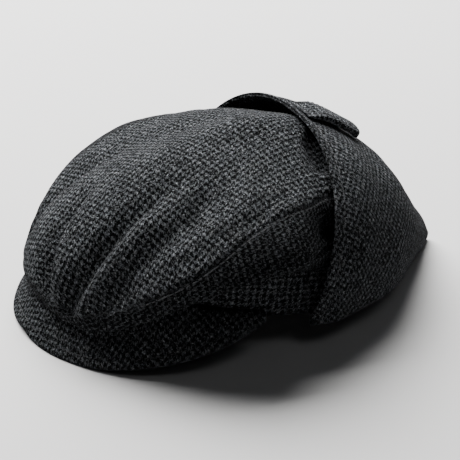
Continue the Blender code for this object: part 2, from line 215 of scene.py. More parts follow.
# Mesh fineness
FRONT_SPREAD_DEG = 95.0
FRONT_COLUMNS = 320
BACK_COLUMNS = 50
DOME_ROWS = 66
LIP_ROWS = 9
UNDER_ROWS = 12
BAND_COLUMNS = 240
BAND_ROWS = 14
EDGE_STEPS = 5
PEAK_COLUMNS = 200
PEAK_ROWS = 26
RIM_STEPS = 14
HOOPS = 120
HOOP_CROWDING = 0.4
SHELF_STEPS = 5
FOLD_STEPS = 6
HOOP_STEPS = 150
TAB_STATIONS = 60
TAB_COLUMNS = 28
STITCH_SIDES = 6
STITCH_RINGS = 5

# Tweed: its repeats and how far its yarns wander, counted in yarns, and how its tones are mixed,
# each as a gain and a base
TWILL_YARNS = 4
CHECK_YARNS = 8
SWAY = 3.5
JOG = 4.5
FUZZ_JOG = 1.6
YARN_TURN = 5.37
YARN_STRETCH = 0.21
WEFT_SHIFT = 71.0
STREAK_GAIN = 4.0
CLOUD_TONE = (0.5, 0.75)
FLECK_TONE = (2.7, 0.08)
GLINT_TONE = (1.7, 0.9)
FLECK_RANGE = (0.36, 0.68)
SPECK_RANGE = (0.55, 0.72)
GLINT_RANGE = (0.60, 0.74)
CHECK_SHARE = 0.95
SPECK_SHARE = 0.7
FUZZ_HEIGHT = 1.2
CLOUD_HEIGHT = 2.0
TWEED_LIGHT = 0.078
TWEED_DARK = 0.0017
FLAP_DARK = 0.0023
PALE_TINTS = ((0.90, 0.98, 1.12), (1.00, 1.02, 1.02))
DEEP_TINTS = ((1.00, 1.05, 1.20), (1.80, 2.00, 2.20))
LINING_TINT = (0.018, 0.018, 0.022)
SWEATBAND_TINT = (0.022, 0.021, 0.022)
THREAD_TINT = (0.07, 0.072, 0.078)
DARK_THREAD_TINT = (0.02, 0.02, 0.023)
THREAD_TWIST = (9000.0, 900.0)
SNAP_TINTS = ((0.07, 0.07, 0.075, 1), (0.16, 0.16, 0.165, 1))

# Noises of the materials: waves to a metre, detail and roughness
Grain = namedtuple("Grain", "scale detail rough")
SWAY_GRAINS = (Grain(90, 2, 0.5), Grain(137, 2, 0.5))
JOG_GRAINS = (Grain(520, 1, 0.5), Grain(610, 1, 0.5))
FUZZ_GRAIN = Grain(1900, 3, 0.7)
STREAK_GRAIN = Grain(1, 3, 0.75)
CLOUD_GRAIN = Grain(45, 3, 0.6)
FLECK_GRAIN = Grain(640, 2, 0.6)
SPECK_GRAIN = Grain(900, 2, 0.6)
GLINT_GRAIN = Grain(980, 1, 0.5)
PALE_GRAIN = Grain(260, 2, 0.5)
DEEP_GRAIN = Grain(300, 2, 0.5)
LINING_GRAIN = Grain(70, 3, 0.5)
SCUFF_GRAIN = Grain(900, 4, 0.7)

CrownRow = namedtuple("CrownRow", "angle overhang sag lip fullness")
CROWN_ROWS = tuple(CrownRow(*row) for row in (
    (0, 1.05, 0.92, 0.80, 1.84),
    (11, 1.04, 0.93, 0.85, 1.86),
    (21, 1.03, 0.85, 0.75, 1.86),
    (31, 1.05, 0.58, 0.50, 1.84),
    (42, 1.08, 0.18, 0.35, 1.82),
    (50, 1.06, -0.05, 0.30, 1.80),
    (58, 0.98, -0.22, 0.30, 1.78),
    (68, 0.78, -0.33, 0.40, 1.78),
    (77, 0.30, -0.33, 0.50, 1.76),
    (87, 0.04, -0.24, 0.60, 1.70),
    (103, 0.01, -0.12, 0.30, 1.52),
    (140, 0.04, -0.08, 0.15, 1.45),
    (180, 0.03, -0.04, 0.10, 1.32),
))

HoopRow = namedtuple("HoopRow", "along out back over up belly lift square")
HOOP_ROWS = tuple(HoopRow(*row) for row in (
    (0.00, 1.000, 0.000, 0.160, 1.000, 1.0, 0.0, 2.35),
    (0.15, 0.992, 0.120, 0.305, 0.925, 1.0, 0.15, 2.50),
    (0.30, 0.937, 0.260, 0.445, 0.815, 0.7, 0.6, 2.30),
    (0.45, 0.846, 0.420, 0.580, 0.705, 0.4, 0.9, 2.30),
    (0.60, 0.665, 0.575, 0.705, 0.530, 0.2, 1.0, 2.35),
    (0.75, 0.430, 0.735, 0.820, 0.345, 0.1, 0.85, 2.20),
    (0.90, 0.180, 0.895, 0.930, 0.200, 0.0, 0.3, 2.00),
    (1.00, 0.000, 1.000, 1.000, 0.060, 0.0, 0.0, 2.00),
))

# Folds and dents of the crown, the large ones first and then the fine ones. The line runs from the
# low to the high angle; low and high are shares of the way up from the widest line.
FoldRow = namedtuple("FoldRow", "name low_angle high_angle low high width depth")
FOLD_ROWS = tuple(FoldRow(*row) for row in (
    ("front pleat", 11.5, 17, -0.05, 0.62, 0.008, 0.0050),
    ("pleat ridge", 16, 22, 0.00, 0.60, 0.010, -0.0030),
    ("left fold", 5, -15, 0.00, 0.50, 0.009, 0.0035),
    ("shoulder valley", 23, 40, 0.10, 0.70, 0.015, 0.0035),
    ("shoulder ridge", 18, 56, 0.10, 0.60, 0.012, -0.0020),
    ("far pleat", -22, -32, -0.05, 0.55, 0.010, 0.0040),
    ("flap dimple", 78, 74, -0.05, 0.38, 0.009, 0.0055),
    ("pleat crease", 12.5, 17.5, 0.05, 0.58, 0.0052, 0.0030),
    ("left crease", 4.5, -10, 0.02, 0.44, 0.0062, 0.0052),
    ("left roll", 9, -3, 0.02, 0.40, 0.0070, -0.0012),
    ("shoulder crease", 22, 37, 0.06, 0.66, 0.0070, 0.0020),
    ("dimple crease", 81, 79, 0.10, 0.33, 0.0090, 0.0085),
    ("dimple lip", 70, 72, 0.00, 0.20, 0.0070, -0.0020),
    ("far crease", -21.5, -31, -0.05, 0.50, 0.0035, 0.0016),
    ("side ripple", 52, 62, 0.35, 0.75, 0.010, 0.0018),
    ("flap ripple", 66, 80, 0.46, 0.80, 0.009, 0.0016),
    ("flap ridge", 60, 82, 0.40, 0.66, 0.010, -0.0012),
    ("brow ripple", 6, 7, 0.10, 0.55, 0.009, -0.0009),
    ("far ripple", -45, -50, 0.15, 0.60, 0.012, 0.0014),
    ("flap tuck", 86, 84, 0.56, 0.84, 0.007, 0.0068),
))

# The seam between the top panel and a side panel: share of the way up at each angle
SeamRow = namedtuple("SeamRow", "angle rise")
SEAM_ROWS = tuple(SeamRow(*row) for row in (
    (0, 0.01), (15, 0.02), (28, 0.08), (40, 0.13), (46, 0.20),
    (52, 0.31), (62, 0.40), (72, 0.412), (90, 0.415), (180, 0.30),
))


def read_rows(rows, column, where):
    """Smooth value of one column of a table at a place in its first column."""
    keys = [row[0] for row in rows]
    values = [getattr(row, column) for row in rows]
    where = min(max(where, keys[0]), keys[-1])
    last = len(rows) - 2
    cell = max(i for i in range(last + 1) if keys[i] <= where)
    span = keys[cell + 1] - keys[cell]

    def slope(i):
        before = max(i - 1, 0)
        after = min(i + 1, len(rows) - 1)
        return (values[after] - values[before]) / (keys[after] - keys[before])

    t = (where - keys[cell]) / span
    return ((1 + 2 * t) * (1 - t) ** 2 * values[cell]
            + t * (1 - t) ** 2 * span * slope(cell)
            + t * t * (3 - 2 * t) * values[cell + 1]
            - t * t * (1 - t) * span * slope(cell + 1))


def band_half_sizes(height, outside):
    """Half width and half length of the band at a height, on its outer or inner face."""
    lean = BAND_LEAN * height / BAND_HEIGHT
    wall = BAND_WALL if outside else 0.0
    return HEAD_WIDTH / 2 + wall - lean, HEAD_LENGTH / 2 + wall - lean


def reach_to_band(angle, height, outside):
    """Distance from the pole's axis to the band, in a direction from the front."""
    half_x, half_y = band_half_sizes(height, outside)
    a = (sin(angle) / half_x) ** 2 + (cos(angle) / half_y) ** 2
    b = -2 * POLE_BACK * cos(angle) / half_y ** 2
    c = (POLE_BACK / half_y) ** 2 - 1
    return (-b + sqrt(b * b - 4 * a * c)) / (2 * a)


def superellipse(turn, power):
    """Across and up shares of a quarter section, turn from 0 at the side to 1 at the top."""
    theta = turn * pi / 2
    return (max(cos(theta), 0.0) ** (2 / power),
            max(sin(theta), 0.0) ** (2 / power))


def bump(distance, width):
    return exp(-(distance / width) ** 2)


def smooth_step(value, low, high):
    share = min(max((value - low) / (high - low), 0.0), 1.0)
    return share * share * (3 - 2 * share)


def press(line, where):
    """How deep a pressed line is at a place across it."""
    return line.depth * bump(where - line.at, line.width)


def soft_noise(point, size, seed):
    return noise.noise(Vector((point[0] / size + seed, point[1] / size - seed,
                               point[2] / size + 2 * seed)))


def unevenness(point, rows):
    return sum(row.height * soft_noise(point, row.size, row.seed) for row in rows)


# Crown

def crown_angles():
    """Column angles from the front, close together where the crown shows."""
    edge = radians(FRONT_SPREAD_DEG)
    front = [edge * (2 * i / FRONT_COLUMNS - 1) for i in range(FRONT_COLUMNS)]
    hidden = 2 * pi - 2 * edge
    back = [edge + hidden * i / BACK_COLUMNS for i in range(BACK_COLUMNS)]
    return front + back


def crown_profile(angle):
    """Reach, height and rise down one column, from below the pole to the band's inner edge."""
    turned = abs(degrees(remainder(angle, 2 * pi)))
    row = {key: read_rows(CROWN_ROWS, key, turned)
           for key in ("overhang", "sag", "lip", "fullness")}
    far = max(0.0, -sin(angle))
    row["fullness"] -= CROWN_FAR_SLUMP * far * (1 + cos(angle)) / 2
    top = BAND_HEIGHT + CROWN_RISE
    widest = BAND_HEIGHT - CROWN_SAG * row["sag"]
    reach = (reach_to_band(angle, BAND_HEIGHT, True) + CROWN_OVERHANG * row["overhang"]
             + CROWN_FAR_SPREAD * far * max(0.0, cos(angle)) ** 3)
    seat_height = BAND_HEIGHT + CROWN_SEAT_GAP
    seat_reach = reach_to_band(angle, BAND_HEIGHT, True) + CROWN_SEAT_GAP
    inset = min(LIP_INSET * row["lip"], max(reach - seat_reach, 0.0))
    profile = []
    for step in range(1, DOME_ROWS + 1):
        across, up = superellipse(1 - step / DOME_ROWS, row["fullness"])
        profile.append((reach * across, widest + (top - widest) * up, 1 - step / DOME_ROWS))
    for step in range(1, LIP_ROWS + 1):
        bend = pi / 2 * step / LIP_ROWS
        profile.append((reach - inset * (1 - cos(bend)),
                        widest - LIP_DROP * row["lip"] * sin(bend),
                        -LIP_SHARE * step / LIP_ROWS))
    lip_reach, lip_height = profile[-1][:2]
    for step in range(1, UNDER_ROWS + 1):
        share = step / UNDER_ROWS
        profile.append((lip_reach + (seat_reach - lip_reach) * share,
                        lip_height + (seat_height - lip_height) * share, -LIP_SHARE - share))
    profile.append((reach_to_band(angle, BAND_HEIGHT, False), seat_height, -LIP_SHARE - 1))
    return profile


def fold_depth(turned, rise, reach):
    """How far the folds and dents press the crown in at a place; turned is in degrees."""
    depth = 0.0
    for row in FOLD_ROWS:
        along = (rise - row.low) / (row.high - row.low)
        if not -FOLD_RUN_IN < along < 1.0:
            continue
        line = row.low_angle + (row.high_angle - row.low_angle) * along
        aside = radians(turned - line) * reach
        if abs(aside) > FOLD_SPREAD * row.width:
            continue
        fade = min(1.0, (along + FOLD_RUN_IN) / (2 * FOLD_RUN_IN)) * (1 - max(along, 0.0) ** 3)
        depth += row.depth * fade * bump(aside, row.width)
    return depth


def crown_grid(angles, turned):
    """The folded crown's points, rows down from the pole, and the rise of each."""
    profiles = [crown_profile(angle) for angle in angles]
    grid = np.zeros((len(profiles[0]), len(angles), 3))
    rises = np.zeros(grid.shape[:2])
    for c, (angle, profile) in enumerate(zip(angles, profiles)):
        for r, (reach, height, rise) in enumerate(profile):
            rises[r, c] = rise
            if r < DOME_ROWS + LIP_ROWS:
                low = max(rise / LIP_SHARE, -LIP_SHARE) if rise < 0 else rise
                pressed = fold_depth(turned[c], low, reach)
                lift = max(rise, 0.0)
                reach -= pressed * cos(lift * pi / 2)
                height -= pressed * sin(lift * pi / 2)
            grid[r, c] = (reach * sin(angle), POLE_BACK - reach * cos(angle), height)
    return grid, rises


def crown_relief(point, offset, turned, rise):
    """Height of the cloth over the folded crown; offset is the way above the panel seam."""
    shown = smooth_step(rise, *SHOWN_RISES)
    seam = smooth_step(abs(turned), *SEAM_FADE_DEG)
    relief = shown * unevenness(point, CROWN_UNEVEN)
    relief -= seam * (press(SEAM_GROOVE, offset) + press(SEAM_PUFF, offset))
    if offset < 0:
        gather = sin(radians(turned) * GATHERS + unevenness(point, GATHER_UNEVEN))
        relief += GATHER_HEIGHT * gather * smooth_step(-rise, *GATHER_RISES) * shown
    return relief


def puffed(points):
    """Points of the crown, raised where its top swells under the flap's front edge."""
    aside = np.hypot(points[..., 0], points[..., 1] - PUFF_FORWARD)
    points[..., 2] += PUFF_RISE * np.exp(-(aside / PUFF_WIDTH) ** 2)
    return points


def crown_cloth_places(grid, arc, turned, below):
    """Cloth coordinates: the top panel's from the pole, and the side panel's along the rim."""
    reach = np.hypot(grid[:, :, 0], grid[:, :, 1] - POLE_BACK)
    straight = radians(STRAIGHT_GRAIN_DEG)
    spread = straight + (np.radians(turned)[None, :] - straight) * reach / np.maximum(arc, reach)
    top = np.stack([arc * np.sin(spread), -arc * np.cos(spread)], axis=2)
    rim = grid[DOME_ROWS + LIP_ROWS // 2]
    round_rim = np.cumsum(np.linalg.norm(rim - np.roll(rim, 1, 0), axis=1))
    down = arc - arc[DOME_ROWS + LIP_ROWS - 1][None, :]
    side = np.stack([round_rim[None, :] + 0 * arc, -down], axis=2)
    return np.where(below[:, :, None], turn_grain(side, SIDE_GRAIN_DEG),
                    turn_grain(top, CROWN_GRAIN_DEG))


def make_crown():
    """Puffed shell with its pleats, seam and gathers, and its lining."""
    angles = crown_angles()
    turned = [degrees(remainder(angle, 2 * pi)) for angle in angles]
    grid, rises = crown_grid(angles, turned)
    rows, columns = rises.shape
    pole = np.array([0, POLE_BACK, BAND_HEIGHT + CROWN_RISE])
    arc = np.linalg.norm(grid[0] - pole, axis=1) + runs_along(grid)
    normals = grid_normals(grid, wrap=True)
    seams = np.array([np.interp(-read_rows(SEAM_ROWS, "rise", abs(turned[c])),
                                -rises[:DOME_ROWS, c], arc[:DOME_ROWS, c])
                      for c in range(columns)])
    below = arc > seams
    relief = np.zeros((rows, columns))
    for r, c in np.ndindex(rows, columns):
        relief[r, c] = crown_relief(grid[r, c], seams[c] - arc[r, c], turned[c], rises[r, c])
    grid = puffed(grid + normals * relief[:, :, None])
    pole = puffed(pole)
    uv = crown_cloth_places(grid, arc, turned, below)
    points = np.vstack([pole[None, :], grid.reshape(-1, 3)])
    uvs = np.vstack([[[0, 0]], uv.reshape(-1, 2)])
    faces = [(0, 1 + i, 1 + (i + 1) % columns) for i in range(columns)]
    faces += [face[::-1] for face in grid_faces(rows, columns, True, 1)]
    shell = new_piece("crown_cloth", points, faces, uvs,
                      [CROWN_TWEED, LINING, SIDE_TWEED_PAINTED_SHADE, LINING])
    # The side panel below the seam takes a darker copy of the crown's tweed, painted shade
    for polygon in shell.data.polygons[columns:]:
        row, column = divmod(polygon.index - columns, columns)
        polygon.material_index = 2 if below[row, column] else 0
    wall = shell.modifiers.new("wall", "SOLIDIFY")
    wall.thickness = SHELL_WALL
    wall.offset = -1.0
    wall.material_offset = 1
    wall.material_offset_rim = 1
    first, last = SEAM_STITCHED_DEG
    down = seams + SEAM_STITCH_DOWN
    lines = [[(read_points(down[c], arc[:, c], grid[:, c]),
               read_points(down[c], arc[:, c], normals[:, c]))
              for c in range(columns) if first < sign * turned[c] < last] for sign in (1, -1)]
    return shell, lines


# Mesh helpers

def runs_along(points, axis=0):
    """Way from the first of a row of points to each of them."""
    steps = np.linalg.norm(np.diff(points, axis=axis), axis=-1)
    return np.insert(np.cumsum(steps, axis=axis), 0, 0.0, axis=axis)


def read_points(where, runs, points):
    """Point at a place along a row of points, from the way run to each of them."""
    return np.array([np.interp(where, runs, points[:, k]) for k in range(3)])


def turn_grain(uv, angle):
    """Cloth coordinates with the grain turned by an angle in degrees."""
    turn = radians(angle)
    across, along = uv[..., 0], uv[..., 1]
    return np.stack([across * cos(turn) + along * sin(turn),
                     along * cos(turn) - across * sin(turn)], axis=-1)


def grid_faces(rows, columns, wrap, start=0):
    """Quads between the rows of a grid, closed round the columns where wrap is set."""
    faces = []
    for row in range(rows - 1):
        for column in range(columns if wrap else columns - 1):
            after = (column + 1) % columns
            low = start + row * columns
            high = low + columns
            faces.append((low + column, low + after, high + after, high + column))
    return faces


def tube_faces(rings, sides, start=0):
    """Faces of a tube of rings, closed at both ends."""
    last = start + (rings - 1) * sides
    ends = [tuple(range(start, start + sides))[::-1], tuple(range(last, last + sides))]
    return grid_faces(rings, sides, True, start) + ends


def grid_normals(grid, wrap):
    """Unit normals of a grid of points, rows crossed with columns."""
    if wrap:
        across = np.roll(grid, -1, 1) - np.roll(grid, 1, 1)
    else:
        across = np.gradient(grid, axis=1)
    normal = np.cross(np.gradient(grid, axis=0), across)
    return normal / np.maximum(np.linalg.norm(normal, axis=2, keepdims=True), 1e-9)


def add_object(name, data):
    """A new object in the scene."""
    thing = bpy.data.objects.new(name, data)
    bpy.context.scene.collection.objects.link(thing)
    return thing


def new_piece(name, points, faces, uvs, materials):
    """A smooth mesh object from level points, laid down as the cap rests."""
    mesh = bpy.data.meshes.new(name)
    placed = lay_down(np.asarray(points, float))
    mesh.from_pydata(placed.tolist(), [], faces)
    mesh.shade_smooth()
    layer = mesh.uv_layers.new(name="cloth")
    index = np.zeros(len(mesh.loops), np.int32)
    mesh.loops.foreach_get("vertex_index", index)
    layer.data.foreach_set("uv", np.asarray(uvs, np.float32)[index].ravel())
    for material in materials:
        mesh.materials.append(material)
    return add_object(name, mesh)


def make_stitches(name, lines, material):
    """Short raised threads along lines of (point, normal) pairs."""
    points, faces, uvs = [], [], []
    pitch = STITCH_LENGTH + STITCH_GAP
    for line in lines:
        spots = np.array([spot for spot, _ in line])
        ups = np.array([up for _, up in line])
        run = runs_along(spots)
        for number in range(int(run[-1] / pitch)):
            first = len(points)
            for ring in range(STITCH_RINGS):
                share = ring / (STITCH_RINGS - 1)
                at = number * pitch + STITCH_GAP / 2 + STITCH_LENGTH * share
                spot = read_points(at, run, spots)
                up = read_points(at, run, ups)
                up /= np.linalg.norm(up)
                ahead = (read_points(at + STITCH_LOOK, run, spots)
                         - read_points(at - STITCH_LOOK, run, spots))
                aside = np.cross(ahead, up)
                aside /= np.linalg.norm(aside)
                swell = sin(pi * (STITCH_TAPER + (1 - 2 * STITCH_TAPER) * share))
                sink = STITCH_RADIUS * (STITCH_PROUD - STITCH_DIP * (1 - swell))
                wide = STITCH_RADIUS * STITCH_FLATNESS * swell
                for side in range(STITCH_SIDES):
                    around = 2 * pi * side / STITCH_SIDES
                    lift = sink + STITCH_RADIUS * swell * sin(around)
                    points.append(spot + up * lift + aside * wide * cos(around))
                    uvs.append((at, side * STITCH_CLOTH))
            faces += tube_faces(STITCH_RINGS, STITCH_SIDES, first)
    return new_piece(name, points, faces, uvs, [material])


# Band, peak, flap and tab

def make_band():
    """Upright band: tweed outside, a soft rounded lower edge and a plain sweatband inside."""
    rows = [(BAND_HEIGHT * (1 - step / BAND_ROWS), 1.0) for step in range(BAND_ROWS + 1)]
    for step in range(1, EDGE_STEPS):
        bend = pi * step / EDGE_STEPS
        rows.append((BAND_EDGE_ROLL * (1 - sin(bend)), (1 + cos(bend)) / 2))
    rows += [(BAND_HEIGHT * step / BAND_ROWS, 0.0) for step in range(BAND_ROWS + 1)]
    grid = np.zeros((len(rows), BAND_COLUMNS, 3))
    uv = np.zeros((len(rows), BAND_COLUMNS, 2))
    run = 0.0
    for r, (height, out) in enumerate(rows):
        half_x, half_y = (inner + BAND_WALL * out for inner in band_half_sizes(height, False))
        if r:
            run += hypot(height - rows[r - 1][0], (out - rows[r - 1][1]) * BAND_WALL)
        groove = press(BAND_GROOVE, height) if out == 1.0 else 0.0
        for c in range(BAND_COLUMNS):
            angle = 2 * pi * c / BAND_COLUMNS
            across, along = cos(angle), sin(angle)
            uneven = unevenness((half_x * across, half_y * along, height), BAND_UNEVEN)
            wave = min(uneven * (1 - bump(height, BAND_FOOT)) - groove, 0.0)
            grid[r, c] = ((half_x + wave) * across, (half_y + wave) * along, height)
            uv[r, c] = (BAND_CLOTH_RADIUS * angle, run)
    faces = [face[::-1] for face in grid_faces(len(rows), BAND_COLUMNS, True)]
    last = (len(rows) - 1) * BAND_COLUMNS
    for c in range(BAND_COLUMNS):
        after = (c + 1) % BAND_COLUMNS
        faces.append((c, after, last + after, last + c))
    piece = new_piece("band_cloth", grid.reshape(-1, 3), faces, uv.reshape(-1, 2),
                      [BAND_TWEED_PAINTED_SHADE, SWEATBAND])
    inside = (BAND_ROWS + EDGE_STEPS - 1) * BAND_COLUMNS
    for polygon in piece.data.polygons:
        polygon.material_index = int(min(polygon.vertices) >= inside)
    outer_line, inner_line = [], []
    half_x, half_y = band_half_sizes(BAND_GROOVE.at, True)
    low_x, low_y = band_half_sizes(SWEATBAND_STITCH_HEIGHT, False)
    for c in range(BAND_COLUMNS + 1):
        angle = 2 * pi * c / BAND_COLUMNS
        out = np.array([cos(angle), sin(angle), 0.0])
        outer_line.append((np.array([(half_x - BAND_STITCH_SUNK) * out[0],
                                     (half_y - BAND_STITCH_SUNK) * out[1], BAND_GROOVE.at]), out))
        inner_line.append((np.array([low_x * out[0], low_y * out[1], SWEATBAND_STITCH_HEIGHT]),
                           -out))
    return piece, [outer_line], [inner_line]


def peak_edges(share):
    """Seam point and outer point of the peak's lower face; share runs from -1 to 1 across."""
    half_x, half_y = band_half_sizes(0.0, True)

    def seam_point(angle):
        return Vector(((half_x + SEAM_GAP) * sin(angle),
                       -(half_y + SEAM_GAP) * cos(angle), 0.0))

    spread = radians(PEAK_SPREAD_DEG)
    end = seam_point(spread)
    tip = Vector((0.0, -half_y - PEAK_REACH, -PEAK_DROP))
    tip_handle = tip + Vector((PEAK_TIP_BREADTH, 0.0, -PEAK_ARCH))
    end_handle = end + Vector((PEAK_END_OUT, -PEAK_END_FORWARD, -PEAK_END_FALL))
    t = abs(share)
    outer = (tip * (1 - t) ** 3 + tip_handle * 3 * t * (1 - t) ** 2
             + end_handle * 3 * t * t * (1 - t) + end * t ** 3)
    outer.x = copysign(outer.x, share)
    return seam_point(spread * share), outer


def make_peak():
    """Stiff curved peak: cloth over a board, with a rolled outer rim."""
    up = Vector((0.0, 0.0, PEAK_WALL))
    rings, uvs = [], []
    upper_line, under_line = [], []
    for column in range(PEAK_COLUMNS + 1):
        share = PEAK_END_SHARE * (2 * column / PEAK_COLUMNS - 1)
        seam, outer = peak_edges(share)
        slope = (outer - seam).normalized()
        angle = share * radians(PEAK_SPREAD_DEG)
        side = slope.cross(Vector((cos(angle), sin(angle), 0.0)))
        normal = side.normalized() * copysign(1.0, side.z)
        depth = (outer - seam).length
        flat = Vector((outer.x - seam.x, outer.y - seam.y, 0.0)).normalized()
        lower, upper, spots = [], [], []
        for row in range(PEAK_ROWS + 1):
            part = row / PEAK_ROWS
            low = seam.lerp(outer, part) + normal * PEAK_BOW * sin(pi * part)
            inset = depth * (1 - part)
            groove = press(PEAK_GROOVE, inset) if depth > PEAK_GROOVED_FROM else 0.0
            waver = unevenness(low, PEAK_UNEVEN) * smooth_step(part, 0.0, PEAK_SEWN_SHARE)
            lower.append(low + normal * groove)
            top = up if row == 0 else normal * (PEAK_WALL - groove + waver)
            upper.append(low + top)
            spots.append(seam + flat * depth * part)
        centre = (lower[-1] + upper[-1]) / 2
        half = (upper[-1] - lower[-1]) / 2
        rim = [centre - half * cos(pi * i / RIM_STEPS)
               + slope * half.length * sin(pi * i / RIM_STEPS)
               for i in range(1, RIM_STEPS)]
        rings.append(upper + rim[::-1] + lower[::-1])
        rim_uv = [spots[-1] + flat * PEAK_WALL * RIM_CLOTH * (1 - i / RIM_STEPS)
                  for i in range(1, RIM_STEPS)]
        uvs.append(spots + rim_uv[::-1] + [spot + flat * PEAK_WALL for spot in spots[::-1]])
        if depth > PEAK_STITCHED_FROM:
            part = 1 - PEAK_GROOVE.at / depth
            low = seam.lerp(outer, part) + normal * PEAK_BOW * sin(pi * part)
            upper_line.append((np.array(low + normal * (PEAK_WALL - STITCH_SUNK)),
                               np.array(normal)))
            under_line.append((np.array(low + normal * STITCH_SUNK), -np.array(normal)))
    points = [tuple(p) for ring in rings for p in ring]
    uv = turn_grain(np.array([(p.x, p.y) for ring in uvs for p in ring]), PEAK_GRAIN_DEG)
    faces = tube_faces(len(rings), len(rings[0]))
    return new_piece("peak_cloth", points, faces, uv, [PEAK_TWEED_PAINTED_SHADE]), [upper_line], [under_line]


def flap_sizes():
    """Half width, length and height of the neck flap."""
    half_x, half_y = band_half_sizes(0.0, True)
    half_width = half_x + FLAP_STANDOFF
    length = half_y + FLAP_BACK_REACH - FLAP_FRONT
    height = FLAP_HANG + BAND_HEIGHT + CROWN_RISE + FLAP_OVER_CROWN
    return half_width, length, height


def hoop_row(along):
    return {key: read_rows(HOOP_ROWS, key, along)
            for key in ("out", "back", "over", "up", "belly", "lift", "square")}


def hoop_point(along, turn, row=None):
    """Point of the flap's outer face; turn runs from the +X fold, 0, to the ridge, 1."""
    half_width, length, height = flap_sizes()
    row = row or hoop_row(along)
    across, up = superellipse(turn, row["square"])
    belly = FLAP_BELLY * row["belly"] * sin(pi * up)
    lean = (row["over"] - row["back"]) * up ** HOOP_LEAN_POWER
    y = FLAP_FRONT + length * (row["back"] + lean)
    foot = FLAP_FOLD_LIFT * row["lift"] + FLAP_FOLD_RADIUS
    rise = height * row["up"] - foot
    return Vector((half_width * row["out"] * across + belly, y, foot + rise * up - FLAP_HANG))


def shelf_point(along):
    """Sewn edge of the flap, against the foot of the band's outer face."""
    half_x, half_y = band_half_sizes(0.0, True)
    half_x += SHELF_GAP
    half_y += SHELF_GAP
    start = asin(FLAP_FRONT / half_y)
    angle = start + (pi / 2 - start) * along
    return Vector((half_x * cos(angle), half_y * sin(angle), FLAP_SEWN_UP))


def flap_hoop(along):
    """One hoop: sewn edge, shelf, bottom fold, up over the ridge and down again."""
    row = hoop_row(along)
    fold = hoop_point(along, 0.0, row)
    sewn = shelf_point(along)
    inward = Vector((sewn.x - fold.x, sewn.y - fold.y, 0.0))
    radius = min(FLAP_FOLD_RADIUS, inward.length * FOLD_ROOM)
    inward = inward.normalized()
    sole = FLAP_FOLD_LIFT * row["lift"] - FLAP_HANG
    heel = Vector((fold.x, fold.y, sole)) + inward * radius
    half = [sewn.lerp(heel, step / SHELF_STEPS) for step in range(SHELF_STEPS + 1)]
    for step in range(1, FOLD_STEPS):
        bend = pi / 2 * step / FOLD_STEPS
        half.append(heel - inward * radius * sin(bend)
                    + Vector((0.0, 0.0, (fold.z - sole) * (1 - cos(bend)))))
    count = HOOP_STEPS // 2
    half += [hoop_point(along, step / count, row) for step in range(count + 1)]
    far = [Vector((-p.x, p.y, p.z)) for p in half[-2::-1]]
    return half + far


def make_flap():
    """Hood-like flap, folded up round the back, two layers with a rolled front hem."""
    shares = [hoop / (HOOPS - 1) for hoop in range(HOOPS)]
    alongs = [min(share * (1 + HOOP_CROWDING * (1 - share)), FLAP_LAST_HOOP)
              for share in shares]
    outer = np.array([[tuple(p) for p in flap_hoop(along)] for along in alongs])
    hoops, columns = outer.shape[:2]
    middle = columns // 2
    normals = grid_normals(outer, wrap=False)
    normals *= copysign(1.0, normals[2, middle, 2])
    run_v = runs_along(outer)
    run_u = runs_along(outer, axis=1)
    run_u = run_u - run_u[:, middle][:, None]
    relief = np.zeros((hoops, columns))
    for h, c in np.ndindex(hoops, columns):
        inset = run_v[h, c]
        relief[h, c] = ((unevenness(outer[h, c], FLAP_UNEVEN) - press(HEM_LINE, inset))
                        * smooth_step(inset, 0.0, FLAP_EDGE_FADE)
                        * smooth_step(alongs[h], 1.0, FLAP_BACK_FADE))
    outer = outer + normals * relief[:, :, None]
    inner = outer - normals * FLAP_WALL
    inner[:, :middle, 0] = np.maximum(inner[:, :middle, 0], 0)
    inner[:, middle + 1:, 0] = np.minimum(inner[:, middle + 1:, 0], 0)
    ahead = outer[0] - outer[1]
    ahead /= np.linalg.norm(ahead, axis=1, keepdims=True)
    core = (outer[0] + inner[0]) / 2
    lift = (outer[0] - inner[0]) / 2
    cloth = np.stack([run_u, run_v], axis=2)
    rows = list(outer[::-1])
    places = list(cloth[::-1])
    for step in range(1, RIM_STEPS):
        bend = pi * step / RIM_STEPS
        dent = 1 - HEM_GROOVE * bump(step - RIM_STEPS / 2, HEM_GROOVE_STEPS)
        rows.append(core + lift * cos(bend)
                    + ahead * FLAP_WALL / 2 * sin(bend) * dent)
        places.append(cloth[0] - (0, FLAP_WALL * RIM_CLOTH * step / RIM_STEPS))
    rows += list(inner)
    places += list(cloth * (1, -1) - (0, FLAP_WALL * RIM_CLOTH))
    uv = turn_grain(np.array(places), FLAP_GRAIN_DEG)
    total = len(rows)
    faces = grid_faces(total, columns, False)
    for h in range(hoops - 1):
        across = total - 1 - h
        for column, turn in ((0, 1), (columns - 1, -1)):
            quad = (h * columns + column, (h + 1) * columns + column,
                    (across - 1) * columns + column, across * columns + column)
            faces.append(quad[::turn])
    piece = new_piece("flap_cloth", np.array(rows).reshape(-1, 3), faces, uv.reshape(-1, 2),
                      [FLAP_TWEED_PAINTED_SHADE])
    line = [(read_points(HEM_LINE.at, run_v[:, c], outer[:, c]),
             read_points(HEM_LINE.at, run_v[:, c], normals[:, c]))
            for c in range(SHELF_STEPS + 2, columns - SHELF_STEPS - 2)]
    return piece, [line]


def halve(low, high, holds):
    """Where a condition that holds at the low end stops holding."""
    for _ in range(HALVINGS):
        middle = (low + high) / 2
        low, high = (middle, high) if holds(middle) else (low, middle)
    return low


def ridge_frame(back):
    """Point and upward normal on the flap's ridge at a place in Y."""
    along = halve(0.0, 1.0, lambda share: hoop_point(share, 1.0).y < back)
    point = hoop_point(along, 1.0)
    ahead = (hoop_point(along + RIDGE_STEP, 1.0) - point).normalized()
    return Vector((0.0, point.y, point.z)), Vector((1.0, 0.0, 0.0)).cross(ahead)


